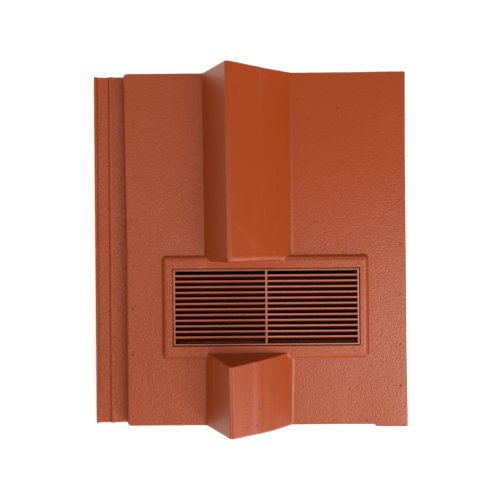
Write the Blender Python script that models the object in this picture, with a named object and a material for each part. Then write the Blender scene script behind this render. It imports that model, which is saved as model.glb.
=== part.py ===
"""Roof vent tile: a formed plastic tile shell with a moulded air grille set in it.

Units are metres. +X runs across the roof, +Y runs up the slope to the tile's head and
+Z points out of the roof. The origin is under the middle of the tile, on the plane
that the tile rests on.
"""

import math

import bmesh
import bpy
from mathutils import Vector

# The whole tile
tile_width = 0.383
pan_length = 0.4302
pan_height = 0.022
wall = 0.003

# Two places nearer than this along an axis count as one
near = 0.0003

# Side lap, which the next tile covers: a low shelf on the left
side_lap_width = 0.0385
side_lap_drop = 0.0165
side_lap_taper = 0.0022
head_straight = 0.006
step_run = 0.0036
rim_width = 0.003
rim_height = 0.0035
rim_slope = 0.002
rim_wall = 0.004
rib_place = 0.0203
rib_width = 0.0026
rib_height = 0.0024
rib_left_slope = 0.0015
rib_right_slope = 0.0043

# Covering lap on the right, which lies over the next tile's side lap
cover_lap_width = 0.040
cover_lap_lip = 0.007
cover_lap_overhang = 0.0018
cover_lap_ramp = 0.0015

# Ridge, steep on its left and shallow on its right
ridge_place = 0.1369
ridge_height = 0.054
ridge_steep_run = 0.0273
crown_width = 0.0069
ridge_shallow_run = 0.0728
steep_break_height = 0.017
steep_break_run = 0.010
shallow_break_height = 0.019
shallow_break_run = 0.0274
ridge_skew = 0.0022

# Raised frame round the vent, set in from the step and from the covering lap
frame_from_step = 0.0435
frame_from_lap = 0.0066
vent_from_tail = 0.1448
frame_length = 0.1253
frame_left_border = 0.0127
frame_right_border = 0.0113
frame_end_border = 0.01565
frame_rise = 0.0058
frame_slope = 0.0026

# The ridge's two ends that stand on the frame: an upright wall with a round top edge
ridge_onto_frame = 0.0075
stub_onto_frame = 0.0069
ridge_end_lead = 0.0006
ridge_end_drop = 0.0065
ridge_end_steps = 3

# Grille, and the seat it rests in
grille_depth = 0.010
grille_sink = 0.0010
grille_gap = 0.0009
seat_gap = 0.0003
seat_ledge = 0.004
opening_chamfer = 0.0012
grille_side_bar = 0.0021
grille_end_bar = 0.0018
mullion_width = 0.0027
mullion_sink = 0.0003
slat_pitch = 0.00676
slat_thickness = 0.0017
slat_tilt = math.radians(28)
first_slat_place = 0.0076
last_slat_room = 0.0085

# Roundings, as the distance cut back on each side of an edge
round_edge = 0.0026
round_corner = 0.0016
round_step_top = 0.0026
round_step_foot = 0.0030
round_rim = 0.0008
round_rim_edge = 0.0018
round_rib = 0.0005
round_crown = 0.0018
round_ridge_foot = 0.0012
round_end_foot = 0.0007
round_frame_top = 0.0018
round_frame_foot = 0.0008
round_frame_corner = 0.0014
round_segments = 4
round_widest = max(round_edge, round_step_top, round_step_foot, round_frame_top)

# Plan positions worked out from the sizes
left_edge = -tile_width / 2
right_edge = tile_width / 2
head_edge = (pan_length + cover_lap_overhang) / 2
tail_edge = head_edge - pan_length
cover_lap_start = right_edge - cover_lap_width
frame_left = left_edge + side_lap_width + step_run + frame_from_step
frame_right = cover_lap_start - frame_from_lap
opening_left = frame_left + frame_left_border
opening_right = frame_right - frame_right_border
vent_x = (opening_left + opening_right) / 2
vent_y = tail_edge + vent_from_tail
frame_head = vent_y + frame_length / 2
frame_tail = vent_y - frame_length / 2
ridge_end = frame_head - ridge_onto_frame
stub_end = frame_tail + stub_onto_frame
frame_top = pan_height + frame_rise
grille_top = frame_top - grille_sink
seat_height = grille_top - grille_depth - seat_gap
opening_width = opening_right - opening_left
opening_length = frame_length - 2 * frame_end_border
grille_width = opening_width - 2 * grille_gap
grille_length = opening_length - 2 * grille_gap
slat_count = 1 + int((grille_length - first_slat_place - last_slat_room) / slat_pitch)

# Order of the points along the top of a cross-section, from left to right
STEP_FOOT, STEP_TOP, FRAME_LEFT, FRAME_LEFT_TOP = 7, 8, 9, 10
STEEP_FOOT, STEEP_BREAK, CROWN_LEFT, CROWN_RIGHT, SHALLOW_BREAK, SHALLOW_FOOT = 11, 12, 13, 14, 15, 16
FRAME_RIGHT_TOP, FRAME_RIGHT, LAP_BEFORE, LAP_START, RIGHT_TOP = 17, 18, 19, 20, 21

# Order of the cross-sections, from the head to the tail: the frame's foot and top edges
HEAD_FOOT, HEAD_TOP = 3, 4
HEAD_END = HEAD_TOP + ridge_end_steps
TAIL_END = HEAD_END + 3
TAIL_TOP = TAIL_END + ridge_end_steps
TAIL_FOOT = TAIL_TOP + 1


def material(name, colour, roughness):
    """A Principled material with one colour and one roughness."""
    made = bpy.data.materials.new(name)
    made.use_nodes = True
    shader = made.node_tree.nodes["Principled BSDF"]
    shader.inputs["Base Color"].default_value = (*colour, 1.0)
    shader.inputs["Roughness"].default_value = roughness
    shader.inputs["Metallic"].default_value = 0.0
    return made


def add_object(name, mesh_builder, parent=None, hidden=False):
    """Puts a bmesh into the scene as a named object. A hidden one is a cutter."""
    bmesh.ops.recalc_face_normals(mesh_builder, faces=mesh_builder.faces[:])
    mesh = bpy.data.meshes.new(name)
    mesh_builder.to_mesh(mesh)
    mesh_builder.free()
    made = bpy.data.objects.new(name, mesh)
    bpy.context.scene.collection.objects.link(made)
    made.parent = parent
    if hidden:
        made.hide_render = True
        made.display_type = "WIRE"
    return made


def boolean(target, tool, operation):
    """Adds a Boolean modifier that cuts or joins another object."""
    modifier = target.modifiers.new(tool.name, "BOOLEAN")
    modifier.operation = operation
    modifier.solver = "EXACT"
    modifier.object = tool


def block(low, high):
    """A box between two corners, as a new bmesh."""
    made = bmesh.new()
    bmesh.ops.create_cube(made, size=1.0)
    for vert in made.verts:
        for axis in range(3):
            vert.co[axis] = low[axis] if vert.co[axis] < 0 else high[axis]
    return made


def offset_line(points, depth):
    """Moves an open line of (x, z) points down by depth, measured square to it."""
    moved = []
    for index, (x, z) in enumerate(points):
        before = points[max(index - 1, 0)]
        after = points[min(index + 1, len(points) - 1)]
        angle_in = math.atan2(z - before[1], x - before[0]) if index else None
        angle_out = math.atan2(after[1] - z, after[0] - x) if after != (x, z) else None
        angle_in = angle_out if angle_in is None else angle_in
        angle_out = angle_in if angle_out is None else angle_out
        middle = (angle_in + angle_out) / 2
        reach = depth / math.cos((angle_out - angle_in) / 2)
        moved.append((x + reach * math.sin(middle), z - reach * math.cos(middle)))
    return moved


def ridge_points(rise, inset):
    """The ridge's points, set in by inset. rise lifts its feet along the flanks, onto the frame."""
    left = left_edge + ridge_place
    crown_left = left + ridge_steep_run
    crown_right = crown_left + crown_width
    right = crown_right + ridge_shallow_run
    line = [
        (left, 0.0),
        (left + steep_break_run, steep_break_height),
        (crown_left, ridge_height),
        (crown_right, ridge_height),
        (right - shallow_break_run, shallow_break_height),
        (right, 0.0),
    ]
    if inset:
        line = offset_line(line, inset)
    for foot, above in ((0, 1), (-1, -2)):
        foot_x, foot_z = line[foot]
        above_x, above_z = line[above]
        part = (rise - foot_z) / (above_z - foot_z)
        line[foot] = (foot_x + part * (above_x - foot_x), rise)
    return line


def section(depth, framed, inset, ridged, plain_lap):
    """The top of a cross-section as (x, z), set depth below the tile's own surface.

    framed lifts the vent's frame, inset sets the ridge in for its rounded end, ridged
    raises the ridge, and plain_lap leaves the rim and the rib off the side lap, as on
    its underside.
    """
    rise = frame_rise if framed else 0.0
    rim = 0.0 if plain_lap else rim_height
    rib = 0.0 if plain_lap else rib_height
    shelf = -side_lap_drop
    rib_left = left_edge + rib_place - rib_width / 2
    rib_right = rib_left + rib_width
    step_foot = left_edge + side_lap_width
    points = [
        (left_edge, shelf + rim),
        (left_edge + rim_width, shelf + rim),
        (left_edge + rim_width + rim_slope, shelf),
        (rib_left - rib_left_slope, shelf),
        (rib_left, shelf + rib),
        (rib_right, shelf + rib),
        (rib_right + rib_right_slope, shelf),
        (step_foot, shelf),
        (step_foot + step_run, 0.0),
        (frame_left, 0.0),
        (frame_left + frame_slope, rise),
        *ridge_points(rise, inset),
        (frame_right - frame_slope, rise),
        (frame_right, 0.0),
        (cover_lap_start, 0.0),
        (cover_lap_start + cover_lap_ramp, 0.0),
        (right_edge, 0.0),
    ]
    if depth:
        points = offset_line(points, depth)
        points[0] = (left_edge + rim_wall, points[0][1])
        points[1] = (left_edge + rim_wall + rim_slope / 4, points[1][1])
        points[RIGHT_TOP] = (right_edge - depth, points[RIGHT_TOP][1])
    if not framed:
        lifted = section(depth, True, inset, True, plain_lap)
        for index in (FRAME_LEFT, FRAME_LEFT_TOP, FRAME_RIGHT_TOP, FRAME_RIGHT):
            points[index] = (lifted[index][0], points[index][1])
    if not ridged:
        for index in range(STEEP_FOOT, SHALLOW_FOOT + 1):
            points[index] = (points[index][0], points[STEEP_FOOT][1])
    return [(x, pan_height + z) for x, z in points]


def add_station(form, columns, line, place, floor):
    """Adds one ring of points across the tile, at place along it.

    floor holds the ring's lower points. A point that falls on the ring before it is shared.
    """
    taper_start = frame_head + ridge_end_lead
    taper_end = head_edge - head_straight
    part = (place - taper_start) / (taper_end - taper_start)
    taper = side_lap_taper * min(max(part, 0.0), 1.0)
    ring = []
    for index, (x, z) in enumerate(line + floor):
        if index in (STEP_FOOT, STEP_TOP):
            x -= taper
        if STEEP_FOOT <= index <= SHALLOW_FOOT:
            x -= ridge_skew * place / pan_length
        before = columns[-1][index] if columns else None
        if before and (before.co - Vector((x, place, z))).length < near / 100:
            ring.append(before)
        else:
            ring.append(form.verts.new((x, place, z)))
    columns.append(ring)


def join_rings(form, before, after):
    """Makes the faces between two rings. Points that the rings share close a face up."""
    count = len(before)
    for index in range(count):
        follow = (index + 1) % count
        corners = [before[index], before[follow], after[follow], after[index]]
        unique = list(dict.fromkeys(corners))
        if len(unique) > 2:
            form.faces.new(unique)


def split_frame_corner(form, corner_a, corner_b):
    """Parts the square face at a corner of the raised frame along its hip."""
    shared = set(corner_a.link_faces) & set(corner_b.link_faces)
    for face in shared:
        bmesh.utils.face_split(face, corner_a, corner_b)


def rounded_end(begin, end, drop, frame_foot, frame_top_edge):
    """Stations along the ridge's rounded end, as (place, framed, inset).

    They start at begin, where the rounding does, take in the frame's foot and top edge,
    and close at end with the ridge set in by drop.
    """
    reach = begin - end
    stations = []
    for place, framed in ((begin, False), (frame_foot, False), (frame_top_edge, True)):
        part = (begin - place) / reach
        stations.append((place, framed, drop * (1 - math.sqrt(1 - part * part))))
    first = math.asin((begin - frame_top_edge) / reach)
    for step in range(1, ridge_end_steps + 1):
        angle = first + (math.pi / 2 - first) * step / ridge_end_steps
        stations.append((begin - reach * math.sin(angle), True, drop * (1 - math.cos(angle))))
    return stations


def tile_form(depth, floor_height):
    """The tile's outside as a solid down to the floor, or its core where depth is set.

    Returns the bmesh and its rings of points, from the head to the tail.
    """
    form = bmesh.new()
    plain_lap = depth > 0
    frame_shift = depth * math.tan(math.atan2(frame_rise, frame_slope) / 2)
    head_foot = frame_head - frame_shift
    head_top = head_foot - frame_slope
    tail_foot = frame_tail + frame_shift
    tail_top = tail_foot + frame_slope
    head_end = ridge_end + depth
    tail_end = stub_end - depth
    drop = ridge_end_drop - depth
    if depth:
        head_end = min(head_end, head_top - near)
        tail_end = max(tail_end, tail_top + near)

    head_part = rounded_end(frame_head + ridge_end_lead, head_end, drop, head_foot, head_top)
    tail_begin = frame_tail - ridge_end_lead
    tail_part = rounded_end(-tail_begin, -tail_end, drop, -tail_foot, -tail_top)
    stations = [(head_edge - depth, False, 0.0, True)]
    stations.append((head_edge - head_straight, False, 0.0, True))
    stations += [(place, framed, inset, True) for place, framed, inset in head_part]
    stations.append((head_end, True, drop, False))
    stations.append((tail_end, True, drop, False))
    stations += [(-place, framed, inset, True) for place, framed, inset in reversed(tail_part)]
    stations.append((tail_edge + depth, False, 0.0, True))

    plain = section(depth, False, 0.0, True, plain_lap)
    lap_floor = floor_height + (pan_height - cover_lap_lip if depth == 0 else 0.0)
    floor = [
        (plain[RIGHT_TOP][0], lap_floor),
        (plain[LAP_START][0], lap_floor),
        (plain[LAP_BEFORE][0], floor_height),
        (plain[0][0], floor_height),
    ]
    rings = []
    for place, framed, inset, ridged in stations:
        add_station(form, rings, section(depth, framed, inset, ridged, plain_lap), place, floor)
    for before, after in zip(rings, rings[1:]):
        join_rings(form, before, after)
    form.faces.new(rings[0])
    tail_cap = form.faces.new(rings[-1])

    for foot, top in ((HEAD_FOOT, HEAD_TOP), (TAIL_FOOT, TAIL_TOP)):
        split_frame_corner(form, rings[foot][FRAME_LEFT], rings[top][FRAME_LEFT_TOP])
        split_frame_corner(form, rings[foot][FRAME_RIGHT], rings[top][FRAME_RIGHT_TOP])
    lengthen_cover_lap(form, rings, tail_cap)
    return form, rings


def lengthen_cover_lap(form, rings, tail_cap):
    """Draws the covering lap's tail end out past the pan's."""
    top = rings[-1][LAP_START]
    bottom = rings[-1][RIGHT_TOP + 2]
    halves = bmesh.utils.face_split(tail_cap, top, bottom)
    lap = max([tail_cap, halves[0]], key=lambda face: face.calc_center_median().x)
    drawn = bmesh.ops.extrude_face_region(form, geom=[lap])
    moved = [item for item in drawn["geom"] if isinstance(item, bmesh.types.BMVert)]
    bmesh.ops.translate(form, vec=(0, -cover_lap_overhang, 0), verts=moved)
    bmesh.ops.delete(form, geom=[lap], context="FACES_ONLY")


def set_rounding(weights, form, line_of_points, distance):
    """Marks the edges along a line of points to be rounded by distance."""
    for one, other in zip(line_of_points, line_of_points[1:]):
        edge = form.edges.get((one, other)) if one is not other else None
        if edge:
            edge[weights] = distance / round_widest


def round_outside(form, rings):
    """Gives every edge of the tile's outside its rounding, as a bevel weight."""
    weights = form.edges.layers.float.new("bevel_weight_edge")
    columns = list(zip(*rings))
    whole_length = {
        1: round_rim,
        2: round_rim,
        3: round_rib,
        4: round_rib,
        5: round_rib,
        6: round_rib,
        STEP_FOOT: round_step_foot,
        STEP_TOP: round_step_top,
        RIGHT_TOP: round_edge,
    }
    for index, distance in whole_length.items():
        set_rounding(weights, form, columns[index], distance)
    set_rounding(weights, form, columns[0], round_rim_edge)
    for rows in (slice(0, HEAD_FOOT), slice(TAIL_FOOT + 1, TAIL_FOOT + 3)):
        set_rounding(weights, form, columns[CROWN_LEFT][rows], round_crown)
        set_rounding(weights, form, columns[CROWN_RIGHT][rows], round_crown)
    for rows in (slice(0, HEAD_END + 1), slice(TAIL_END, TAIL_FOOT + 3)):
        set_rounding(weights, form, columns[STEEP_FOOT][rows], round_ridge_foot)
        set_rounding(weights, form, columns[SHALLOW_FOOT][rows], round_ridge_foot)
    for index in (FRAME_LEFT_TOP, FRAME_RIGHT_TOP):
        set_rounding(weights, form, columns[index][HEAD_TOP : TAIL_TOP + 1], round_frame_top)
    for index in (FRAME_LEFT, FRAME_RIGHT):
        set_rounding(weights, form, columns[index][HEAD_FOOT : TAIL_FOOT + 1], round_frame_foot)
    left_side = slice(FRAME_LEFT, STEEP_FOOT + 1)
    right_side = slice(SHALLOW_FOOT, FRAME_RIGHT + 1)
    for foot, top in ((HEAD_FOOT, HEAD_TOP), (TAIL_FOOT, TAIL_TOP)):
        for side in (left_side, right_side):
            set_rounding(weights, form, rings[foot][side], round_frame_foot)
            set_rounding(weights, form, rings[top][side][1:], round_frame_top)
        set_rounding(weights, form, rings[top][FRAME_LEFT_TOP : STEEP_FOOT + 1], round_frame_top)
        set_rounding(weights, form, rings[top][SHALLOW_FOOT : FRAME_RIGHT_TOP + 1], round_frame_top)
        for low, high in ((FRAME_LEFT, FRAME_LEFT_TOP), (FRAME_RIGHT, FRAME_RIGHT_TOP)):
            set_rounding(weights, form, [rings[foot][low], rings[top][high]], round_frame_corner)
    for foot in (HEAD_END + 1, TAIL_END - 1):
        set_rounding(weights, form, rings[foot][STEEP_FOOT : SHALLOW_FOOT + 1], round_end_foot)
    for edge in form.edges:
        mark_end_edge(edge, weights)
    bmesh.ops.dissolve_limit(
        form,
        angle_limit=math.radians(0.1),
        use_dissolve_boundaries=False,
        verts=form.verts[:],
        edges=form.edges[:],
    )


def mark_end_edge(edge, weights):
    """Marks an edge that goes round the tile's head or tail end."""
    one, other = (vert.co for vert in edge.verts)
    at_head = min(one.y, other.y) > head_edge - near
    at_tail = max(one.y, other.y) < tail_edge + near
    if not (at_head or at_tail):
        return
    if abs(one.y - other.y) > near:
        if min(one.z, other.z) > pan_height - near:
            edge[weights] = round_corner / round_widest
        return
    on_far_tail = max(one.y, other.y) < tail_edge - near
    if at_tail and not on_far_tail and min(one.x, other.x) > cover_lap_start + near:
        return
    upright = abs(one.x - other.x) < near
    if upright:
        if abs(abs(one.x) - tile_width / 2) < near:
            reach = round_edge if at_head and one.x > 0 else round_corner
            edge[weights] = reach / round_widest
        return
    past_lap = min(one.x, other.x) > cover_lap_start - near
    on_lap_foot = max(one.z, other.z) < pan_height - cover_lap_lip + near
    if min(one.z, other.z) < near or (past_lap and on_lap_foot):
        return
    on_side_lap = max(one.x, other.x) < left_edge + side_lap_width + step_run + near
    reach = round_corner if on_side_lap or on_far_tail else round_edge
    edge[weights] = reach / round_widest


def tunnel(name, parent, inner_y, outer_y):
    """Cutter for the open end under the ridge, where the tile below nests."""
    form = bmesh.new()
    rings = []
    for y in (inner_y, outer_y):
        shift = -ridge_skew * y / pan_length
        line = [(x + shift, z) for x, z in ridge_points(0.0, 0.0)]
        line = [(line[0][0], -wall), *line, (line[-1][0], -wall)]
        rings.append([form.verts.new((x, y, z)) for x, z in line])
    join_rings(form, *rings)
    form.faces.new(rings[0])
    form.faces.new(rings[1])
    return add_object(name, form, parent, hidden=True)


def opening_cutter(parent):
    """Cutter for the vent's opening, from the seat up, with a chamfered mouth."""
    levels = (
        (seat_height, 0.0),
        (frame_top - opening_chamfer, 0.0),
        (frame_top, opening_chamfer),
        (frame_top + wall, opening_chamfer + wall),
    )
    form = bmesh.new()
    rings = []
    for z, flare in levels:
        half_x = opening_width / 2 + flare
        half_y = opening_length / 2 + flare
        corners = ((-half_x, -half_y), (half_x, -half_y), (half_x, half_y), (-half_x, half_y))
        rings.append([form.verts.new((vent_x + x, vent_y + y, z)) for x, y in corners])
    for before, after in zip(rings, rings[1:]):
        join_rings(form, before, after)
    form.faces.new(rings[0])
    form.faces.new(rings[-1])
    return add_object("vent_opening", form, parent, hidden=True)


def build_shell(parent, finish):
    """The tile's shell: its outside, less its core, its open ends and the vent."""
    outside, rings = tile_form(0.0, 0.0)
    round_outside(outside, rings)
    shell = add_object("tile_shell", outside, parent)
    shell.data.materials.append(finish)
    rounding = shell.modifiers.new("edge rounding", "BEVEL")
    rounding.limit_method = "WEIGHT"
    rounding.width = round_widest
    rounding.segments = round_segments
    rounding.use_clamp_overlap = False

    core_form, _ = tile_form(wall, -2 * wall)
    core = add_object("shell_core", core_form, parent, hidden=True)
    seat_x = opening_width / 2 + wall
    seat_y = opening_length / 2 + wall
    seat_block = block(
        (vent_x - seat_x, vent_y - seat_y, seat_height - wall),
        (vent_x + seat_x, vent_y + seat_y, frame_top),
    )
    boolean(core, add_object("seat_block", seat_block, parent, hidden=True), "DIFFERENCE")
    boolean(shell, core, "DIFFERENCE")
    boolean(shell, opening_cutter(parent), "DIFFERENCE")
    throat_x = opening_width / 2 - seat_ledge
    throat_y = opening_length / 2 - seat_ledge
    throat = block(
        (vent_x - throat_x, vent_y - throat_y, seat_height - 2 * wall),
        (vent_x + throat_x, vent_y + throat_y, seat_height + wall),
    )
    boolean(shell, add_object("vent_throat", throat, parent, hidden=True), "DIFFERENCE")
    head_tunnel = tunnel("head_tunnel", parent, head_edge - 2 * wall, head_edge + wall)
    tail_tunnel = tunnel("tail_tunnel", parent, tail_edge + 2 * wall, tail_edge - wall)
    boolean(shell, head_tunnel, "DIFFERENCE")
    boolean(shell, tail_tunnel, "DIFFERENCE")
    return shell


def slat(index):
    """One tilted slat, whose deeper edge lies further down the slope."""
    front = grille_length / 2 - first_slat_place - index * slat_pitch
    back = front - grille_depth * math.tan(slat_tilt)
    reach = (grille_width - grille_side_bar) / 2
    outline = [
        (front + slat_thickness / 2, grille_depth),
        (front - slat_thickness / 2, grille_depth),
        (back - slat_thickness / 2, near),
        (back + slat_thickness / 2, near),
    ]
    form = bmesh.new()
    rings = [[form.verts.new((x, y, z)) for y, z in outline] for x in (-reach, reach)]
    join_rings(form, *rings)
    form.faces.new(rings[0])
    form.faces.new(rings[1])
    return form


def build_grille(parent, finish):
    """The grille: a border, a middle bar and a row of slats, moulded as one."""
    half_x = grille_width / 2
    half_y = grille_length / 2
    border = block((-half_x, -half_y, 0.0), (half_x, half_y, grille_depth))
    grille = add_object("louvre_grille", border, parent)
    grille.data.materials.append(finish)
    grille.location = (vent_x, vent_y, grille_top - grille_depth)
    hole_x = half_x - grille_side_bar
    hole_y = half_y - grille_end_bar
    hole = block((-hole_x, -hole_y, -wall), (hole_x, hole_y, grille_depth + wall))
    boolean(grille, add_object("grille_hole", hole, grille, hidden=True), "DIFFERENCE")
    middle = block(
        (-mullion_width / 2, -half_y + grille_end_bar / 2, mullion_sink),
        (mullion_width / 2, half_y - grille_end_bar / 2, grille_depth - mullion_sink),
    )
    boolean(grille, add_object("grille_mullion", middle, grille, hidden=True), "UNION")
    for index in range(slat_count):
        blade = add_object(f"grille_slat_{index + 1}", slat(index), grille, hidden=True)
        boolean(grille, blade, "UNION")
    return grille


def main():
    for old in list(bpy.data.objects):
        bpy.data.objects.remove(old, do_unlink=True)
    tile = bpy.data.objects.new("roof_vent_tile", None)
    bpy.context.scene.collection.objects.link(tile)
    terracotta = material("terracotta_formed_plastic", (0.40, 0.075, 0.024), 0.42)
    moulded = material("terracotta_moulded_plastic", (0.24, 0.048, 0.018), 0.40)
    build_shell(tile, terracotta)
    build_grille(tile, moulded)


main()
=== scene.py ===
"""The looks of the roof vent tile: its formed shell, moulded grille, light and camera."""
import math

import bpy
import numpy as np
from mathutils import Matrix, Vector


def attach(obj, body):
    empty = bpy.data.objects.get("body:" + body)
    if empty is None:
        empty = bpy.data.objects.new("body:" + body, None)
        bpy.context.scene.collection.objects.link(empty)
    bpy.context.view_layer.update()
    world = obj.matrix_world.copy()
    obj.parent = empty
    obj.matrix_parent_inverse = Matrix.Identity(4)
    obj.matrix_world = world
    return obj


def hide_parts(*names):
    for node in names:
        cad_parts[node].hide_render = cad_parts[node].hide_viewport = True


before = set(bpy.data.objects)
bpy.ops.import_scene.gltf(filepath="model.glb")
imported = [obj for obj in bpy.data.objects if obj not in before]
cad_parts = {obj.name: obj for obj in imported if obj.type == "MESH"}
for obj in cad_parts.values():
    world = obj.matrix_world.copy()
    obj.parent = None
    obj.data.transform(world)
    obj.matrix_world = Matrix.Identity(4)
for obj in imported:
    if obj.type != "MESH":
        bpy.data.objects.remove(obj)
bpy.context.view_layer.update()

# All sizes below are in millimetres; the model is in metres
mm = 0.001
per_mm = 1000.0

# The tile's plan and its levels
left_edge, right_edge = -191.5, 191.5
head_edge, pan_tail, lap_tail = 216.0, -214.2, -216.0
pan, shelf, lap_foot = 22.0, 5.5, 15.0
rim_height, rib_height = 9.0, 7.9
lap_start, lap_draw_start = 151.5, -204
wall = 3.0

# Places of the long lines of the section, from left to right
rim_top, rim_foot = -188.5, -186.5
rib_foot, rib_left, rib_right, rib_end = -174.0, -172.5, -169.9, -165.6
step_foot, step_top = -153.0, -149.4
frame_left, frame_right, frame_slope, frame_rise = -105.9, 144.9, 2.6, 5.8
steep_foot, crease, crown_left, crown_right = -54.6, -44.6, -24.6, -20.4
shallow_break, shallow_foot = 25.0, 51.7

# The ridge's heights over the pan. The crown is 0.4 lower than the solid's, so that the beads
# and pips on it stay inside the solid's box.
fold_height, crown_height = 17.0, 53.6
no_ridge = -100.0

# The vent, with the ends of the ridge above it and of the short ridge below it. The ridge begins
# to turn down end_lead before the frame and is end_drop lower at its end. The short ridge's end
# wall leans, and would reach the crown at stub_wall_top.
frame_head, frame_tail = -6.75, -132.05
ridge_end, stub_end = -14.25, -125.15
end_lead, end_drop = 0.6, 6.5
stub_wall_top = -131.9
opening = ((-93.2, -116.4), (133.6, -22.4))
grille_top = 26.8

# What changes along the tile: places along it, and the shift across or the height there. Last
# come the crown's shift per millimetre, and the step's shift at the head.
steep_wander = ([pan_tail, 12, head_edge], [0.55, 0.0, -0.97])
flank_wander = ([pan_tail, frame_tail, 0, head_edge], [-1.2, 0.6, 0.0, 0.8])
break_heights = ([pan_tail, stub_end, 0, head_edge], [25.0, 22.5, 19.6, 18.4])
crown_lean, step_taper = -0.0062, -2.2

# Radii of the rounded edges, and how far the outer corners on the right are drawn up
left_round_tail, left_round_head, edge_round = 3.2, 1.9, 2.6
side_lap_round, cover_lap_round, opening_round = 1.7, 1.6, 0.7
step_corner_head, step_corner_tail = 4.0, 3.5
corner_lift = 2.6


def linear(hex_colour):
    """Turns an sRGB hex value such as "#AA5030" into linear red, green, blue and alpha."""
    levels = [int(hex_colour[place : place + 2], 16) / 255 for place in (1, 3, 5)]
    curve = [
        level / 12.92 if level <= 0.04045 else ((level + 0.055) / 1.055) ** 2.4
        for level in levels
    ]
    return (*curve, 1.0)


def rounded(points):
    """A line through (x, z, trim) points, with each corner rounded off over trim on both sides."""
    xs, zs = [points[0][0]], [points[0][1]]
    for before, here, after in zip(points, points[1:], points[2:]):
        ends = []
        for other in (before, after):
            run, rise = other[0] - here[0], other[1] - here[1]
            part = here[2] / math.hypot(run, rise)
            ends.append((here[0] + part * run, here[1] + part * rise))
        for step in range(9):
            t = step / 8
            xs.append((1 - t) ** 2 * ends[0][0] + 2 * t * (1 - t) * here[0] + t * t * ends[1][0])
            zs.append((1 - t) ** 2 * ends[0][1] + 2 * t * (1 - t) * here[1] + t * t * ends[1][1])
    xs.append(points[-1][0])
    zs.append(points[-1][1])
    return xs, zs


def soft_max(one, other, reach):
    """The higher of two surfaces, with a fillet where they meet."""
    near = np.clip(reach - np.abs(one - other), 0.0, None)
    return np.maximum(one, other) + near * near / (4 * reach)


def soft_min(one, other, reach):
    """The lower of two surfaces, rounded off where they meet."""
    return -soft_max(-one, -other, reach)


def bead(x, place, width, height):
    """A thin raised line, or a groove where height is negative."""
    return height * np.exp(-(((x - place) / width) ** 2))


def fade(value, start, stop):
    """Goes smoothly from 0 at start to 1 at stop."""
    part = np.clip((value - start) / (stop - start), 0.0, 1.0)
    return part * part * (3 - 2 * part)


def edge_drop(distance, radius):
    """How far a surface falls at a distance from an edge rounded by radius."""
    inside = np.clip(radius - distance, 0.0, radius)
    return radius - np.sqrt(radius * radius - inside * inside)


def lines_at(y):
    """Places across the tile of the section's long lines, as they are and as they run at y."""
    corner = edge_drop(head_edge - y, step_corner_head) + edge_drop(y - pan_tail, step_corner_tail)
    taper = step_taper * max(y - frame_head, 0.0) / (head_edge - frame_head) + corner
    steep = np.interp(y, *steep_wander)
    crown = crown_lean * y
    shift = {
        step_foot: taper,
        step_top: taper,
        steep_foot: steep,
        crease: (steep + crown) / 2,
        crown_left: crown,
        crown_right: crown,
        shallow_break: crown / 2,
        shallow_foot: np.interp(y, *flank_wander),
    }
    places = [
        left_edge, rim_top, rim_foot, rib_foot, rib_left, rib_right, rib_end, step_foot,
        step_top, frame_left, steep_foot, crease, crown_left, crown_right, shallow_break,
        shallow_foot, frame_right, lap_start, right_edge,
    ]
    return places, [place + shift.get(place, 0.0) for place in places]


def end_inset(y):
    """How far the ridge's rounded end sinks its surface at y, or None past the end."""
    begin = frame_head + end_lead
    if y > begin or y <= stub_end:
        return 0.0
    if y < ridge_end:
        return None
    part = (begin - y) / (begin - ridge_end)
    return end_drop * (1 - math.sqrt(max(1 - part * part, 0.0)))


def sunk(line, inset):
    """A line of (x, z, trim) points moved inwards by inset, square to itself."""
    moved = []
    for index, (px, pz, trim) in enumerate(line):
        angles = []
        if index:
            before = line[index - 1]
            angles.append(math.atan2(pz - before[1], px - before[0]))
        if index < len(line) - 1:
            after = line[index + 1]
            angles.append(math.atan2(after[1] - pz, after[0] - px))
        middle = sum(angles) / len(angles)
        reach = inset / math.cos((angles[-1] - angles[0]) / 2)
        trim = trim * (1 - 0.75 * inset / end_drop)
        moved.append((px + reach * math.sin(middle), pz - reach * math.cos(middle), trim))
    return moved


def narrow_crown(line):
    """Keeps the ridge's two crown points apart, or joins them where its flanks meet."""
    (fold_x, fold_z, _), (left_x, left_z, left_trim) = line[1:3]
    (right_x, right_z, right_trim), (low_x, low_z, _) = line[3:5]
    width = right_x - left_x
    if width > 0.8:
        room = 0.48 * width
        crown = [
            (left_x, left_z, min(left_trim, room)),
            (right_x, right_z, min(right_trim, room)),
        ]
    else:
        rise = (left_z - fold_z) / (left_x - fold_x)
        fall = (low_z - right_z) / (low_x - right_x)
        meet_x = (right_z - left_z + rise * left_x - fall * right_x) / (rise - fall)
        crown = [(meet_x, left_z + rise * (meet_x - left_x), 0.5)]
    return [*line[:2], *crown, *line[4:]]


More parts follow.
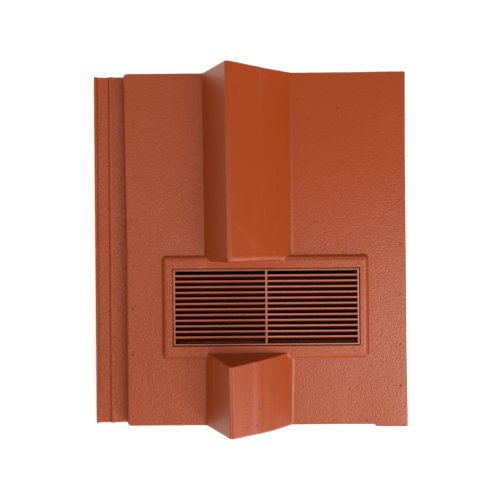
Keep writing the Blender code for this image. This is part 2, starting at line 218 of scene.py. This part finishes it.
def ridge_at(x, y, moved):
    """Height of the ridge's own surface over the pan at y, or far below where there is none."""
    inset = end_inset(y)
    if inset is None:
        return np.full_like(x, no_ridge)
    on_stub = y <= stub_end
    foot, fold, left, right, low_break, end = (
        moved[place]
        for place in (steep_foot, crease, crown_left, crown_right, shallow_break, shallow_foot)
    )
    break_height = np.interp(y, *break_heights)
    steep_slope = fold_height / (fold - foot)
    end_slope = break_height / (end - low_break)
    below = 20.0
    line = [
        (foot - below, -below * steep_slope, 0.0),
        (fold, fold_height, 1.4),
        (left, crown_height, 2.3),
        (right, crown_height, 1.7),
        (low_break, break_height, 7.0),
        (end + below, -below * end_slope, 0.0),
    ]
    xs, zs = rounded(narrow_crown(sunk(line, inset)))
    height = np.interp(x, xs, zs)
    # Two beads along the crown, with a groove between them
    height += bead(x, left + 0.4, 0.7, 0.2) + bead(x, right + 0.2, 0.7, 0.25)
    height += bead(x, (left + right) / 2 + 0.3, 0.8, -0.2)
    # The fold of the steep flank, which stands out on the short ridge, as its right foot does
    height += bead(x, fold + 0.2, 0.6, 0.9 if on_stub else 0.08)
    if on_stub:
        height += bead(x, 54.2, 0.9, 0.2)
    # Two faint lines along the shallow flank, and a low swelling to the left of the first
    for place, size in ((16.6, 0.1), (32.8, 0.16)):
        height += bead(x, place - 0.002 * y, 0.7, size)
    height += 0.5 * fade(x, 2.0, 9.0) * (1 - fade(x, 12.0, 17.0))
    if on_stub and y > stub_wall_top - 3:
        part = (y - stub_wall_top) / (stub_end - stub_wall_top)
        height = soft_min(height, crown_height - part * (crown_height - frame_rise), 2.2)
    return height


def frame_at(x, y):
    """How far the vent's frame stands above the pan."""
    from_side = np.minimum(x - frame_left, frame_right - x)
    from_end = min(frame_head - y, y - frame_tail)
    corner = 5.0
    past_side = np.clip(corner - from_side, 0.0, None)
    past_end = max(corner - from_end, 0.0)
    nearest = np.minimum(from_side, from_end)
    inward = np.where(nearest < corner, corner - np.hypot(past_side, past_end), nearest)
    profile = [(-40, 0, 0), (0, 0, 0.9), (frame_slope, frame_rise, 4.4), (200, frame_rise, 0)]
    return np.interp(inward, *rounded(profile))


def wrinkle_at(x, y):
    """The soft diagonal wrinkle where the ridge's flank was drawn down at its end."""
    if not ridge_end < y < 60:
        return np.zeros_like(x)
    path_y = [-4, -0.7, 7.8, 17.1, 31.9, 48]
    path_x = [26, 19.3, 3.9, -2.9, -14.1, -19]
    middle = np.interp(y, path_y, path_x)
    strength = fade(y, -6, 2) * (1 - fade(y, 30, 48))
    swelling = 0.35 * fade(x, middle, middle + 3) * (1 - fade(x, middle + 4, middle + 26))
    return strength * (bead(x, middle, 1.5, 0.32) + swelling)


def tile_row(x, y, moved):
    """Heights of the tile's top along one row of places."""
    base = rounded([
        (left_edge - 1, rim_height, 0),
        (rim_top, rim_height, 0.8),
        (rim_foot, shelf, 0.8),
        (rib_foot, shelf, 0.5),
        (rib_left, rib_height, 0.55),
        (rib_right, rib_height, 0.6),
        (rib_end, shelf, 1.2),
        (moved[step_foot], shelf, 3.4),
        (moved[step_top], pan, 3.0),
        (right_edge + 1, pan, 0),
    ])
    height = np.interp(x, *base)
    # Two faint lines in the side lap, one on each side of its rib
    height += bead(x, -177.0, 0.9, 0.12) + bead(x, -163.4, 0.8, 0.12)
    height = height + frame_at(x, y)
    # The ridge runs into the pan with a fillet, wide on its left and tight near its ends
    ridge = ridge_at(x, y, moved)
    ridge = ridge + pan + wrinkle_at(x, y)
    near_end = min(abs(y - ridge_end), abs(y - stub_end))
    close = 0.15 + 0.85 * fade(near_end, 0.0, 3.0)
    reach = np.where(x < 0, 4.8, 1.9) * close
    height = soft_max(height, ridge, reach)
    if stub_end < y < ridge_end:
        # A fillet along the foot of both end walls, which starts further in where set_in is more
        for end, direction, set_in, radius in (
            (ridge_end, 1, 1.0, 1.9),
            (stub_end, -1, 0.1, 0.7),
        ):
            ends_left = moved[steep_foot] + 3.4 + 7.1 * set_in
            ends_right = moved[shallow_foot] - 8.4 - 10.4 * set_in
            beside = np.clip(np.maximum(ends_left - x, x - ends_right), 0.0, None)
            away = np.hypot(beside, (end - y) * direction)
            height = height + edge_drop(away, radius)
    # The rounded outer edges, and the edge of the vent's opening
    left_round = np.interp(y, [pan_tail, head_edge], [left_round_tail, left_round_head])
    height -= edge_drop(x - left_edge, left_round)
    height -= edge_drop(right_edge - x, edge_round)
    on_cover_lap = x > lap_start + 0.5
    radius = np.where(x < moved[step_foot], side_lap_round, edge_round)
    tail = np.where(on_cover_lap, lap_tail, pan_tail)
    tail_radius = np.where(on_cover_lap, cover_lap_round, radius)
    height -= edge_drop(head_edge - y, radius) + edge_drop(y - tail, tail_radius)
    (low_x, low_y), (high_x, high_y) = opening
    if low_y - 2 < y < high_y + 2:
        past_side = np.maximum(low_x - x, x - high_x)
        past_opening = np.maximum(past_side, max(low_y - y, y - high_y))
        height -= edge_drop(np.clip(past_opening, 0.0, None), opening_round)
    corners = fade(abs(y), 110, 216) * fade(x, 118, 192)
    return height + corner_lift * corners


def top_row(across, y):
    """One row of points of the tile's top."""
    places, shifted = lines_at(y)
    moved = dict(zip(places, shifted))
    x = np.interp(across, places, shifted)
    height = tile_row(x, y, moved)
    drawn_part = np.where(across > lap_start + 0.5, fade(y, lap_draw_start, pan_tail), 0.0)
    return np.column_stack([x, y + drawn_part * (lap_tail - pan_tail), height])


def spread(*parts):
    """Joins (start, stop, step) parts and single places into one rising list of places."""
    places = set()
    for part in parts:
        if isinstance(part, tuple):
            start, stop, step = part
            count = max(1, round(abs(stop - start) / step))
            places.update(round(start + (stop - start) * k / count, 3) for k in range(count + 1))
        else:
            places.add(part)
    return sorted(places)


# Places of the top's columns and rows: close together where the section turns, wide apart where
# it is plain, and at the steps of a quarter arc along the outer edges
arc = [1 - math.cos(math.radians(15 * k)) for k in range(7)]
columns = spread(
    *(left_edge + left_round_tail * step for step in arc),
    (-188.5, -184.9, 0.45), (-184.0, -175.6, 2.8), (-174.9, -169.0, 0.4), (-168.5, -162.5, 0.7),
    (-161.5, -158.5, 1.5), (-157.6, -153.6, 0.6), (-153.3, -149.2, 0.3), (-148.8, -146.0, 0.45),
    (-144.0, -110.0, 4.0), (-107.6, -98.0, 0.6), (-96.8, -94.4, 1.2), (-94.0, -93.2, 0.2),
    (-90.0, -62.0, 5.6), (-60.2, -50.4, 0.6), (-49.0, -46.0, 1.0), (-45.4, -43.4, 0.35),
    (-42.0, -30.0, 2.0), (-29.2, -17.0, 0.4), (-16.0, 12.0, 1.4), (12.6, 18.6, 0.7),
    (19.6, 28.8, 1.4), (29.6, 35.6, 0.7), (36.8, 48.2, 1.4), (48.8, 58.0, 0.55),
    (60.0, 130.0, 5.0), (133.6, 134.4, 0.2), (135.6, 146.4, 0.6),
    148.5, 151.5, 152.5, 155.0, (160.0, 186.0, 5.2),
    *(right_edge - edge_round * step for step in arc),
)
rows = spread(
    *(head_edge - edge_round * step for step in arc),
    (213.0, 211.6, 0.35), (210.0, 204.0, 2.0), (198.0, 60.0, 6.0), (57.0, 0.0, 2.2),
    (-2.0, -5.0, 1.0), (-5.4, -12.6, 0.4), (-12.9, -13.8, 0.22),
    -13.95, -14.08, -14.17, ridge_end, -14.3,
    (-14.5, -16.5, 0.33), (-17.5, -21.5, 1.0), (-21.7, -22.4, 0.175), (-26.0, -112.0, 8.6),
    (-116.4, -117.1, 0.175), (-118.0, -122.6, 1.1), (-122.9, -124.9, 0.33),
    -125.1, stub_end, -125.22, -125.34, -125.5, -125.7,
    (-126.0, -134.4, 0.42), (-135.5, -137.5, 1.0), (-140.0, -206.0, 4.4), (-208.0, -211.0, 0.5),
    *(pan_tail + edge_round * step for step in arc),
)[::-1]

# How far inside the shell's long lines, and inside its frame, the lines of its hollow run
hollow_shift = {
    left_edge: 4.0, step_foot: 1.0, step_top: 2.2, steep_foot: 3.5, crease: 2.8,
    crown_left: 1.9, crown_right: -1.1, shallow_break: -1.9, shallow_foot: -5.3,
}
frame_foot_shift, frame_top_shift = 1.95, 4.5
hollow_frame = [
    frame_left + frame_foot_shift, frame_left + frame_top_shift,
    frame_right - frame_top_shift, frame_right - frame_foot_shift,
]
hollow_frame_head, hollow_frame_tail = -10.0, -128.8
hollow_ridge_end, hollow_stub_end = -10.8, -128.2
hollow_columns = spread(
    *(line + shift for line, shift in hollow_shift.items()), *hollow_frame,
    -170.0, -120.0, -75.0, 0.0, shallow_foot + 2, 95.0, lap_start - 3.0,
)
hollow_rows = [
    213.0, 100.0, 0.0, -8.7, -10.05, -10.75, -10.85, -60.0, -128.15, -128.25, -128.75, -130.1,
    -131.5, -132.9, -134.3, -135.1, -140.0, -211.2,
]


def hollow_row(across, y):
    """One row of points of the hollow under the tile."""
    places, shifted = lines_at(min(y, 200))
    moved = dict(zip(places, shifted))
    x = np.interp(across, places, shifted)
    line_x = [line + hollow_shift[line] for line in (left_edge, step_foot, step_top)]
    base = np.interp(x, line_x, [shelf - wall, shelf - wall, pan - wall])
    rise = frame_rise if hollow_frame_tail < y < hollow_frame_head else 0.0
    base = base + np.interp(x, hollow_frame, [0, rise, rise, 0])
    if hollow_ridge_end > y > hollow_stub_end:
        ridge = np.full_like(x, no_ridge)
    else:
        foot, fold, left, right, low_break, end = (
            moved[line] + hollow_shift[line]
            for line in (steep_foot, crease, crown_left, crown_right, shallow_break, shallow_foot)
        )
        ridge = pan - wall + np.interp(
            x,
            [foot - 8, foot, fold, left, right, low_break, end, end + 12],
            [-14, 0.2, 16.0, crown_height, crown_height, 18.6, 0.2, -9],
        )
        if y < stub_end:
            part = (y + wall - stub_wall_top) / (stub_end - stub_wall_top)
            ridge = np.minimum(ridge, pan + crown_height - part * (crown_height - frame_rise))
    return np.column_stack([x, np.full_like(x, y), np.maximum(base, ridge)])


# The open ends under the ridge, where the tile below nests: places across, and heights there
tunnel_line = ([-54.6, -44.6, -27.3, -20.4, 25.0, 52.4], [0.0, 17.0, 54.0, 54.0, 19.0, 0.0])
tunnel_lean = -0.0051
head_tunnel, tail_tunnel = (219.0, 210.0), (-208.2, -217.2)


def tunnel_row(across, y):
    """One row of points of an open end under the ridge."""
    height = np.interp(across, *tunnel_line)
    return np.column_stack([across + tunnel_lean * y, np.full_like(across, y), height])


def select_only(piece):
    """Selects one piece alone and makes it the one that operators act on."""
    bpy.ops.object.select_all(action="DESELECT")
    piece.select_set(True)
    bpy.context.view_layer.objects.active = piece


def grid_piece(name, across, along, row_of):
    """A sheet laid over the places given, each of its rows shaped by row_of.

    Its points are set by formula and not by operators, for the reason given in tile_shell.
    """
    bpy.ops.mesh.primitive_grid_add(
        x_subdivisions=len(across) - 1, y_subdivisions=len(along) - 1, size=2
    )
    piece = bpy.context.object
    piece.name = name
    points = np.empty(len(piece.data.vertices) * 3)
    piece.data.vertices.foreach_get("co", points)
    points = points.reshape(-1, 3)
    column = np.rint((points[:, 0] + 1) / 2 * (len(across) - 1)).astype(int)
    row = np.rint((1 - points[:, 1]) / 2 * (len(along) - 1)).astype(int)
    for index, y in enumerate(along):
        here = row == index
        points[here] = row_of(np.array(across)[column[here]], y)
    piece.data.vertices.foreach_set("co", (points * mm).ravel())
    piece.data.update()
    return piece


def close_below(piece, foot):
    """Draws the open edge of a sheet down to a flat foot and fills it."""
    select_only(piece)
    bpy.ops.object.mode_set(mode="EDIT")
    bpy.ops.mesh.select_mode(type="EDGE")
    bpy.ops.mesh.select_all(action="DESELECT")
    bpy.ops.mesh.select_non_manifold()
    bpy.ops.mesh.extrude_region_move()
    bpy.ops.transform.resize(value=(1, 1, 0), center_override=(0, 0, foot * mm))
    bpy.ops.mesh.edge_face_add()
    bpy.ops.mesh.select_all(action="SELECT")
    bpy.ops.mesh.normals_make_consistent(inside=False)
    bpy.ops.object.mode_set(mode="OBJECT")


def box(name, low, high):
    """A block between two corners, given in millimetres."""
    size = [(b - a) * mm for a, b in zip(low, high)]
    middle = [(a + b) / 2 * mm for a, b in zip(low, high)]
    bpy.ops.mesh.primitive_cube_add(size=1, location=middle)
    piece = bpy.context.object
    piece.name = name
    piece.scale = size
    bpy.ops.object.transform_apply(location=True, rotation=False, scale=True)
    return piece


def cut(piece, tool, operation="DIFFERENCE"):
    """Cuts a piece by another, or joins them, and does away with the tool."""
    select_only(piece)
    modifier = piece.modifiers.new(operation.lower(), "BOOLEAN")
    modifier.operation = operation
    modifier.solver = "EXACT"
    modifier.object = tool
    bpy.ops.object.modifier_apply(modifier=modifier.name)
    bpy.data.objects.remove(tool, do_unlink=True)


def deselect_within(piece, kind):
    """Deselects every part of a piece's mesh, so that one kind can then be picked by a test."""
    select_only(piece)
    bpy.ops.object.mode_set(mode="EDIT")
    bpy.ops.mesh.select_mode(type=kind)
    bpy.ops.mesh.select_all(action="DESELECT")
    bpy.ops.object.mode_set(mode="OBJECT")


def shift_faces(piece, wanted, shift):
    """Moves the faces whose normal passes the test given, by a shift in millimetres."""
    deselect_within(piece, "FACE")
    for face in piece.data.polygons:
        face.select = wanted(face.normal)
    bpy.ops.object.mode_set(mode="EDIT")
    bpy.ops.transform.translate(value=[part * mm for part in shift])
    bpy.ops.object.mode_set(mode="OBJECT")


def bevel_edges(piece, wanted, offset, segments):
    """Rounds off the edges whose two ends, in millimetres, pass the test given."""
    deselect_within(piece, "EDGE")
    points = piece.data.vertices
    for edge in piece.data.edges:
        one, other = (points[index].co / mm for index in edge.vertices)
        edge.select = wanted(one, other)
    bpy.ops.object.mode_set(mode="EDIT")
    bpy.ops.mesh.bevel(offset=offset * mm, segments=segments, affect="EDGES")
    bpy.ops.object.mode_set(mode="OBJECT")


def tile_shell():
    """The formed shell with its hollow, its vent and its two open ridge ends.

    Its top is a grid shaped row by row, because the fillets and lines of a formed sheet run and
    fade along places that wander, which bevels on a plain block can't follow.
    """
    shell = grid_piece("tile_shell_visual", columns, rows, top_row)
    close_below(shell, 0.0)
    cut(shell, box("under_lap", (lap_start, -230, -5), (200, 230, lap_foot)))
    hollow = grid_piece("core", hollow_columns, hollow_rows, hollow_row)
    close_below(hollow, -10.0)
    cut(hollow, box("seat_block", (-96.2, -119.4, 13.0), (136.6, -19.4, 40.0)))
    cut(shell, hollow)
    (low_x, low_y), (high_x, high_y) = opening
    seat, ledge = 16.5, 4
    cut(shell, box("vent_opening", (low_x, low_y, seat), (high_x, high_y, 40)))
    throat_low = (low_x + ledge, low_y + ledge, 5)
    throat_high = (high_x - ledge, high_y - ledge, 20)
    cut(shell, box("vent_throat", throat_low, throat_high))
    for along in (head_tunnel, tail_tunnel):
        tunnel = grid_piece("tunnel", tunnel_line[0], along, tunnel_row)
        close_below(tunnel, -3.0)
        cut(shell, tunnel)
    return shell


# The grille's own sizes
grille_low, grille_high = (-92.3, -115.5, 16.8), (132.7, -23.3, grille_top)
side_bar, end_bar, half_middle_bar = 2.1, 1.8, 1.35
slat_pitch, slat_count, slat_thickness = 6.76, 12, 1.9
first_slat, slat_drop = -30.9, 5.32


def grille_border():
    """The grille's border: a block cut through, with softly rounded edges."""
    border = box("louvre_grille_visual", grille_low, grille_high)
    hole = box(
        "grille_hole",
        (grille_low[0] + side_bar, grille_low[1] + end_bar, 10),
        (grille_high[0] - side_bar, grille_high[1] - end_bar, 30),
    )
    cut(border, hole)
    bevel_edges(border, lambda one, other: min(one.z, other.z) > grille_top - 0.1, 0.45, 3)
    return border


def grille_slat():
    """One slat: a thin block leant down the slope, with its long edges softened."""
    half = slat_thickness / 2
    blade = box(
        "slat",
        (grille_low[0] + side_bar / 2, first_slat - half, grille_low[2] + 0.3),
        (grille_high[0] - side_bar / 2, first_slat + half, grille_top - 0.1),
    )

    def is_upper(one, other):
        return abs(one.x - other.x) > 100 and one.z > 20

    def is_lower(one, other):
        return abs(one.x - other.x) > 100 and max(one.z, other.z) < 18

    shift_faces(blade, lambda normal: normal.z < -0.9, (0, -slat_drop, 0))
    bevel_edges(blade, is_upper, 0.35, 3)
    bevel_edges(blade, is_lower, 0.5, 2)
    return blade


def grille_middle_bar():
    """The bar down the middle of the grille, a little lower than the border."""
    middle = (grille_low[0] + grille_high[0]) / 2
    bar = box(
        "middle_bar",
        (middle - half_middle_bar, grille_low[1] + end_bar / 2, grille_low[2] + 0.5),
        (middle + half_middle_bar, grille_high[1] - end_bar / 2, grille_top - 0.02),
    )
    bevel_edges(bar, lambda one, other: abs(one.y - other.y) > 50 and one.z > 20, 0.6, 3)
    return bar


def louvre_grille():
    """The whole grille, with its slats copied down from the first."""
    whole = grille_border()
    first = grille_slat()
    for index in range(slat_count):
        blade = first.copy()
        blade.data = first.data.copy()
        bpy.context.scene.collection.objects.link(blade)
        select_only(blade)
        bpy.ops.object.mode_set(mode="EDIT")
        bpy.ops.mesh.select_all(action="SELECT")
        bpy.ops.transform.translate(value=(0, -index * slat_pitch * mm, 0))
        bpy.ops.object.mode_set(mode="OBJECT")
        cut(whole, blade, "UNION")
    bpy.data.objects.remove(first, do_unlink=True)
    cut(whole, grille_middle_bar(), "UNION")
    return whole


# Small pips left by the air holes of the forming mould: (across, along, size). The four on the
# crown are smaller, to stay inside the solid's box.
pip_radius = 1.45
pips = [
    (-139.9, 207.4, 1.0), (-140.3, 148.9, 1.0), (-140.9, 87.9, 1.0), (-141.3, 34.3, 1.0),
    (-141.8, -19.3, 1.0), (-142.2, -71.7, 1.0), (-142.6, -126.5, 1.0), (-100.2, 208.2, 0.9),
    (-85.6, 208.1, 0.9), (185.7, 160.8, 1.0), (185.3, 113.8, 1.0), (184.9, 59.6, 1.0),
    (184.4, 4.8, 1.0), (183.9, -56.1, 1.0), (183.4, -117.1, 1.0), (183.0, -167.0, 1.0),
    (101.0, -210.2, 0.9), (142.4, -209.9, 0.9), (-22.8, 198.0, 0.3), (-24.1, 181.6, 0.3),
    (-24.4, 140.3, 0.3), (-22.6, 130.2, 0.3), (-12.1, 184.0, 0.9), (61.0, 181.7, 0.9),
    (110.0, 169.7, 1.3), (115.8, 105.3, 0.9), (79.9, 32.8, 0.9), (121.6, -172.0, 0.9),
    (-145.7, -41.8, 0.8), (-125.7, -61.5, 0.8), (-138.2, -99.7, 0.8), (11.0, -133.0, 0.8),
    (11.4, -185.0, 0.8), (-3.0, -203.5, 0.8), (7.7, -203.0, 0.8), (-186.1, 43.1, 0.8),
    (-186.5, -80.7, 0.8), (-187.1, -148.5, 0.8), (-153.8, 37.6, 0.8),
]


def mould_pips():
    """All the pips as one piece of small spheres, each about half sunk in the tile's top."""
    made = []
    for across, along, size in pips:
        surface = top_row(np.array([across, across + 1.0]), along)
        slope = (surface[1, 2] - surface[0, 2]) / (surface[1, 0] - surface[0, 0])
        height = surface[0, 2] + slope * (across - surface[0, 0])
        bpy.ops.mesh.primitive_uv_sphere_add(
            segments=12,
            ring_count=8,
            radius=pip_radius * size * mm,
            location=(across * mm, along * mm, (height - 0.1) * mm),
        )
        bpy.ops.object.transform_apply(location=True, rotation=False, scale=True)
        made.append(bpy.context.object)
    bpy.ops.object.select_all(action="DESELECT")
    for pip in made:
        pip.select_set(True)
    bpy.context.view_layer.objects.active = made[0]
    bpy.ops.object.join()
    return bpy.context.object


def material(name, colour, roughness):
    """A Principled material of one colour and one roughness, with its tree and its shader."""
    made = bpy.data.materials.new(name)
    made.use_nodes = True
    shader = made.node_tree.nodes["Principled BSDF"]
    shader.inputs["Base Color"].default_value = linear(colour)
    shader.inputs["Roughness"].default_value = roughness
    return made, made.node_tree, shader


def add(tree, kind, feeds, **settings):
    """Adds a node with its settings; feeds gives each input a value or the socket linked to it."""
    made = tree.nodes.new(kind)
    for name, value in settings.items():
        setattr(made, name, value)
    for name, value in feeds.items():
        if isinstance(value, bpy.types.NodeSocket):
            tree.links.new(value, made.inputs[name])
        else:
            made.inputs[name].default_value = value
    return made


# Sizes of the patterns on the plastics. A cell of the leathery grain is drawn 2.2 mm wide, as
# coarse as it must be to show at the photo's scale of about 1.2 mm a pixel.
grain_size, wave_size, spark_size = 2.2, 14.0, 0.5

# How strong the grain is: the axis, from where to where along it in millimetres, and from how
# much to how much. The ridge's stretched sheet is smoother than the pans beside it.
grain_by_place = {
    "towards_tail": ("Y", 120, -120, 0.45, 1.0),
    "on_side_lap": ("X", -150, -156, 0.0, 0.6),
    "on_left_pan": ("X", -50, -62, 0.5, 4.6),
    "on_right_pan": ("X", 45, 60, 0.0, 0.8),
}


def formed_plastic():
    """Vacuum-formed terracotta plastic, a satin sheet.

    Its leathery grain is pressed smooth at the head and stays coarser towards the tail and on
    the side lap, so the light breaks up there. Long, low waves keep it from looking dead flat.
    """
    made, tree, shader = material("vacuum_formed_terracotta_plastic", "#973B0D", 0.37)
    place = add(tree, "ShaderNodeTexCoord", {}).outputs["Object"]
    parts = add(tree, "ShaderNodeSeparateXYZ", {"Vector": place})
    strength = {}
    for name, (axis, start, stop, low, high) in grain_by_place.items():
        span = {"From Min": start * mm, "From Max": stop * mm, "To Min": low, "To Max": high}
        strength[name] = add(
            tree, "ShaderNodeMapRange", {"Value": parts.outputs[axis], **span}
        ).outputs["Result"]
    on_pans = add(
        tree, "ShaderNodeMath", {0: strength["on_left_pan"], 1: strength["on_right_pan"]},
        operation="ADD",
    ).outputs["Value"]
    pan_grain = add(
        tree, "ShaderNodeMath", {0: strength["towards_tail"], 1: on_pans}, operation="MULTIPLY"
    ).outputs["Value"]
    grain_strength = add(
        tree, "ShaderNodeMath", {0: pan_grain, 1: strength["on_side_lap"]}, operation="ADD"
    ).outputs["Value"]
    leather = add(
        tree, "ShaderNodeTexNoise",
        {
            "Vector": place, "Scale": per_mm / grain_size, "Detail": 2.0, "Roughness": 0.5,
            "Distortion": 0.5,
        },
    ).outputs["Fac"]
    waves = add(
        tree, "ShaderNodeTexNoise", {"Vector": place, "Scale": per_mm / wave_size, "Detail": 1.0}
    ).outputs["Fac"]
    leather_height = add(
        tree, "ShaderNodeMath", {0: leather, 1: grain_strength}, operation="MULTIPLY"
    ).outputs["Value"]
    fine_bump = add(
        tree, "ShaderNodeBump", {"Height": leather_height, "Distance": 0.8 * mm, "Strength": 0.6}
    ).outputs["Normal"]
    wave_bump = add(
        tree, "ShaderNodeBump",
        {"Height": waves, "Distance": 0.5 * mm, "Strength": 0.35, "Normal": fine_bump},
    ).outputs["Normal"]
    tree.links.new(wave_bump, shader.inputs["Normal"])
    return made


def moulded_plastic():
    """Injection-moulded terracotta plastic of the grille, smoother than the shell.

    Its colour is painted pale along the upper edges, a painted highlight where the light
    catches them, and painted dark down between the slats, a painted shade that adds to the real
    shade there. A fine spark grain softens its highlights.
    """
    made, tree, shader = material("injection_moulded_terracotta_plastic", "#8E4026", 0.3)
    place = add(tree, "ShaderNodeTexCoord", {}).outputs["Object"]
    height = add(tree, "ShaderNodeSeparateXYZ", {"Vector": place}).outputs["Z"]
    # Heights where the painted shade ends and the painted highlight begins
    painted_shade_below, painted_highlight_above = grille_top - 1.7, grille_top - 0.2
    painted_light_mask = add(
        tree, "ShaderNodeMapRange",
        {"Value": height, "From Min": painted_shade_below * mm, "From Max": painted_highlight_above * mm},
    ).outputs["Result"]
    # The Mix node's colour sockets share their names with others, so they go by number
    factor, painted_shade_socket, painted_highlight_socket, mixed = 0, 6, 7, 2
    # Painted light: a dark painted shade low between the slats and a pale painted highlight along
    # their upper edges, mixed by height
    painted_light_tone = add(
        tree, "ShaderNodeMix",
        {factor: painted_light_mask, painted_shade_socket: linear("#4A1406"), painted_highlight_socket: linear("#9C5340")},
        data_type="RGBA",
    ).outputs[mixed]
    tree.links.new(painted_light_tone, shader.inputs["Base Color"])
    spark = add(
        tree, "ShaderNodeTexNoise", {"Vector": place, "Scale": per_mm / spark_size, "Detail": 1.0}
    ).outputs["Fac"]
    spark_bump = add(
        tree, "ShaderNodeBump", {"Height": spark, "Distance": 0.05 * mm, "Strength": 0.4}
    ).outputs["Normal"]
    tree.links.new(spark_bump, shader.inputs["Normal"])
    return made


def dress(piece, plastic, sharp_angle):
    """Gives a piece its one material, and smooth shading up to an angle in degrees."""
    piece.data.materials.clear()
    piece.data.materials.append(plastic)
    select_only(piece)
    bpy.ops.object.shade_smooth_by_angle(angle=math.radians(sharp_angle))


outside = tile_shell()
grille = louvre_grille()
cut(outside, mould_pips(), "UNION")

dress(outside, formed_plastic(), 38)
weighted = outside.modifiers.new("weighted", "WEIGHTED_NORMAL")
weighted.keep_sharp = True
bpy.ops.object.modifier_apply(modifier="weighted")
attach(outside, "root")
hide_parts("tile_shell")

dress(grille, moulded_plastic(), 40)
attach(grille, "root")
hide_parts("louvre_grille")

# The camera looks straight down, with its place, turn and focal length fitted to the photo
focal_length_px, photo_width_px = 610.7, 500
camera_data = bpy.data.cameras.new("camera")
camera = bpy.data.objects.new("camera", camera_data)
bpy.context.scene.collection.objects.link(camera)
camera.location = (0.00108, 0.01242, 0.76614)
camera.rotation_euler = (0, 0, math.radians(-0.48))
camera_data.sensor_width = 36
camera_data.lens = focal_length_px / photo_width_px * 36
camera_data.shift_y = -0.021
bpy.context.scene.camera = camera
bpy.context.scene.view_settings.view_transform = "Standard"

# The floor, in metres. A black patch under the tile's hollow is painted shade,
# so the vent looks down into the dark.
floor_size, painted_shade_half = 30, 0.17
bpy.ops.mesh.primitive_plane_add(size=floor_size, location=(0, 0, -0.0002))
floor = bpy.context.object
floor.name = "floor"
bpy.ops.object.mode_set(mode="EDIT")
bpy.ops.mesh.select_mode(type="FACE")
bpy.ops.mesh.select_all(action="SELECT")
bpy.ops.mesh.inset(thickness=floor_size / 2 - painted_shade_half)
bpy.ops.object.mode_set(mode="OBJECT")
floor.data.materials.append(material("white_paper", "#F8F8F8", 0.9)[0])
floor.data.materials.append(material("painted_shade_under_vent", "#060303", 0.9)[0])
# The small middle face takes the black painted shade
for face in floor.data.polygons:
    face.material_index = 1 if face.area < 1 else 0

world = bpy.data.worlds.new("world")
bpy.context.scene.world = world
world.use_nodes = True
background = world.node_tree.nodes["Background"]
background.inputs["Color"].default_value = (1, 1, 1, 1)
background.inputs["Strength"].default_value = 0.02

# The softboxes are alike; lengths in metres
softbox_size, softbox_distance = 0.9, 1.8
softbox_colour = (1.0, 0.96, 0.88)


def softbox(name, azimuth, elevation, energy, only=None):
    """A square studio light turned to the tile, placed by its angles round it and above it."""
    turn, lift = math.radians(azimuth), math.radians(elevation)
    across, along = math.cos(lift) * math.cos(turn), math.cos(lift) * math.sin(turn)
    towards = Vector((across, along, math.sin(lift)))
    lamp = bpy.data.lights.new(name, "AREA")
    lamp.shape = "SQUARE"
    lamp.size = softbox_size
    lamp.energy = energy
    lamp.color = softbox_colour
    made = bpy.data.objects.new(name, lamp)
    bpy.context.scene.collection.objects.link(made)
    made.location = towards * softbox_distance
    made.rotation_euler = towards.to_track_quat("Z", "Y").to_euler()
    if only:
        made.light_linking.receiver_collection = only


# The main light stands to the lower right; the others open up the shadows from the sides, and
# one from behind the head lights the floor alone
softbox("main_light", 328, 50, 25)
softbox("overhead_right", 315, 72, 4)
softbox("low_right", 312, 15, 13)
softbox("left_fill", 190, 40, 6.8)
softbox("upper_left_fill", 190, 60, 6)
softbox("low_tail_fill", 270, 18, 8)
softbox("head_fill", 90, 38, 7.5)
floor_alone = bpy.data.collections.new("floor_alone")
floor_alone.objects.link(floor)
softbox("floor_light", 90, 40, 30, only=floor_alone)
